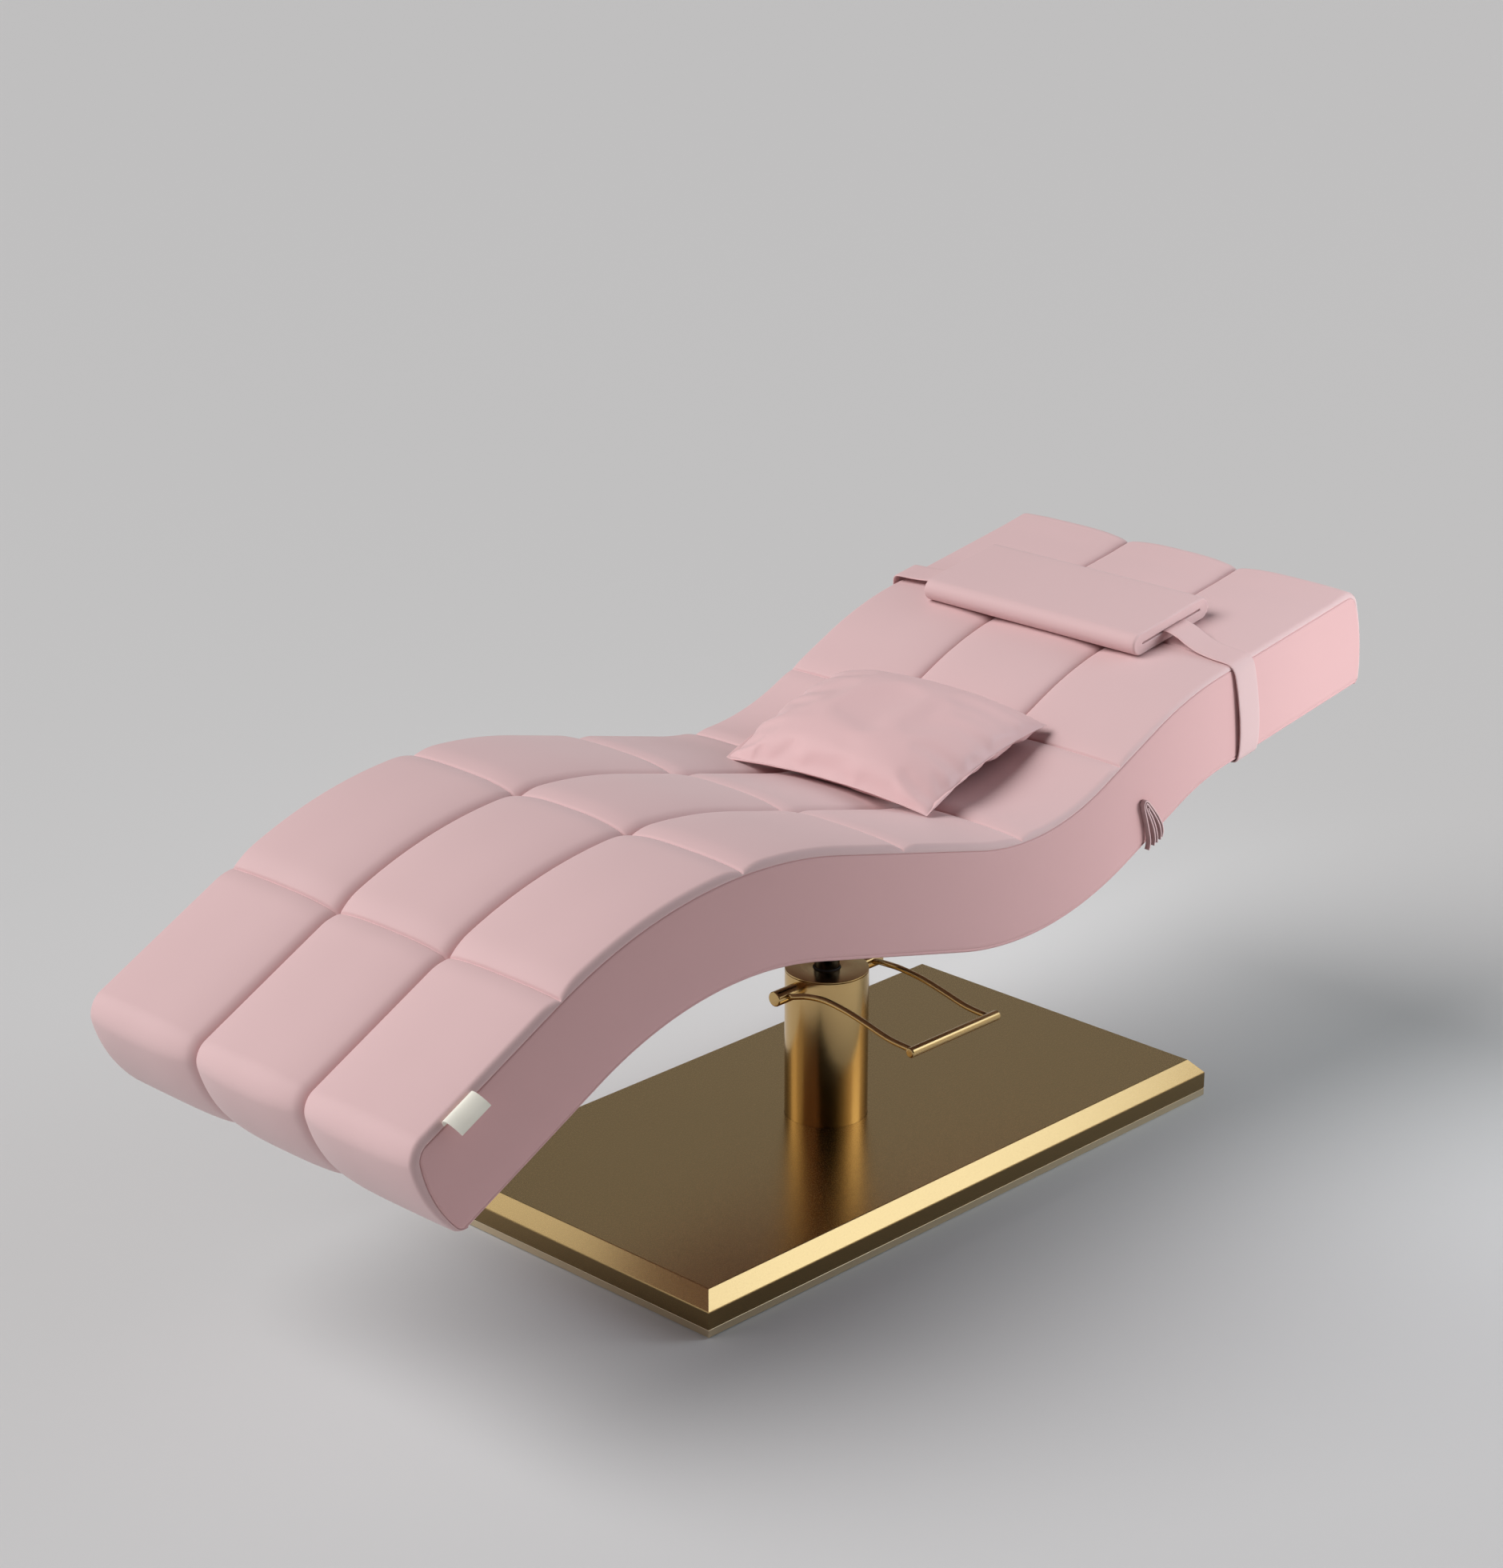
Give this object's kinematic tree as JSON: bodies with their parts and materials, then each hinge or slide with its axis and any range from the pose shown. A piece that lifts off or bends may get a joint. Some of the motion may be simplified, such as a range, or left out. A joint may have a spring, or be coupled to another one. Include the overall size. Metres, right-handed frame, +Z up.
{
  "type": "beauty bed",
  "caption": "Wave-shaped quilted treatment bed on a swivelling hydraulic column with a foot pedal, a bevelled base plate, a strapped head pad and a loose pillow.",
  "frame": {"origin": "on the floor, on the axis of the column and its ram", "axes": "+X along the bed to its head end, +Z up, the foot pedal points to -Y"},
  "size_m": [1.8482, 0.6392, 0.7307],
  "materials": {
    "pink_leather": "satin",
    "padded_pink_leather": "satin",
    "pink_fabric": "matte",
    "cream_fabric": "matte",
    "foam": "matte",
    "plywood": "satin",
    "gold_satin": "satin",
    "black_chrome": "polished",
    "black_steel": "satin",
    "steel": "satin",
    "bronze": "satin",
    "rubber": "matte"
  },
  "bodies": {
    "base": {"base_mat": "rubber", "base_plate": "gold_satin", "base_cover": "gold_satin", "pump_flange": "black_steel", "flange_bolt_1": "steel", "flange_bolt_2": "steel", "flange_bolt_3": "steel", "flange_bolt_4": "steel", "column_tube": "gold_satin", "column_cap": "gold_satin", "rod_wiper": "rubber", "pump_reservoir": "black_steel", "pump_cylinder": "steel", "pump_head": "black_steel", "gland_bush": "bronze", "plunger_barrel": "steel", "shaft_block_foot_side": "black_steel", "shaft_block_head_side": "black_steel", "release_valve_body": "steel", "return_spring": "steel"},
    "ram": {"ram_rod": "black_chrome", "ram_piston": "steel", "piston_seal": "rubber", "retainer_washer": "steel", "retainer_bolt": "steel"},
    "bed": {"top_cover": "padded_pink_leather", "side_cover_near": "pink_leather", "side_cover_far": "pink_leather", "bottom_panel": "pink_fabric", "foam_core": "foam", "deck_board": "plywood", "side_apron_near": "plywood", "side_apron_far": "plywood", "end_board_foot": "plywood", "end_board_head": "plywood", "side_rail_near": "black_steel", "side_rail_far": "black_steel", "cross_tube_foot": "black_steel", "cross_tube_back": "black_steel", "cross_tube_head": "black_steel", "mount_beam_foot_side": "black_steel", "mount_beam_head_side": "black_steel", "mount_plate": "black_steel", "swivel_hub": "black_steel", "hub_bush": "bronze", "thrust_washer": "bronze", "folded_keeper": "pink_fabric", "side_tag": "cream_fabric"},
    "head_rest": {"head_pad": "padded_pink_leather", "head_strap": "pink_fabric", "strap_fastener": "pink_fabric"},
    "pillow": {"pillow": "padded_pink_leather"},
    "pedal": {"pedal_shaft_foot_side": "gold_satin", "pedal_shaft_head_side": "gold_satin", "pedal_yoke": "steel", "pedal_arm_foot_side": "gold_satin", "pedal_arm_head_side": "gold_satin", "foot_bar": "gold_satin"},
    "plunger": {"pump_plunger": "steel"},
    "release_pin": {"release_pin": "steel"}
  },
  "joints": [
    {"name": "lift", "type": "slide", "parent": "base", "child": "ram", "axis": [0, 0, 1], "range_m": [-0.06, 0.09]},
    {"name": "swivel", "type": "hinge", "parent": "ram", "child": "bed", "pos_m": [0, 0, 0.3897], "axis": [0, 0, 1], "continuous": true},
    {"name": "pedal_press", "type": "hinge", "parent": "base", "child": "pedal", "pos_m": [0, 0, 0.264], "axis": [1, 0, 0], "range_deg": [0, 22], "stiffness_Nm_per_rad": 6, "springref_deg": -20.05},
    {"name": "plunger_stroke", "type": "slide", "parent": "base", "child": "plunger", "axis": [0, 0, -1], "range_m": [0, 0.0145], "deforming": ["return_spring"]},
    {"name": "release_press", "type": "slide", "parent": "base", "child": "release_pin", "axis": [0, 0, -1], "range_m": [0, 0.002], "stiffness_N_per_m": 500, "springref_m": -0.002},
    {"name": "head_rest_slide", "type": "slide", "parent": "bed", "child": "head_rest", "axis": [0.9871, 0, 0.1599], "range_m": [0, 0.1]},
    {"name": "pillow_lift", "type": "slide", "parent": "bed", "child": "pillow", "axis": [0, 0, 1], "range_m": [0, 0.3]}
  ],
  "couplings": [
    {"joint": "plunger_stroke", "follows": "pedal_press", "m_per_rad": 0.036}
  ]
}
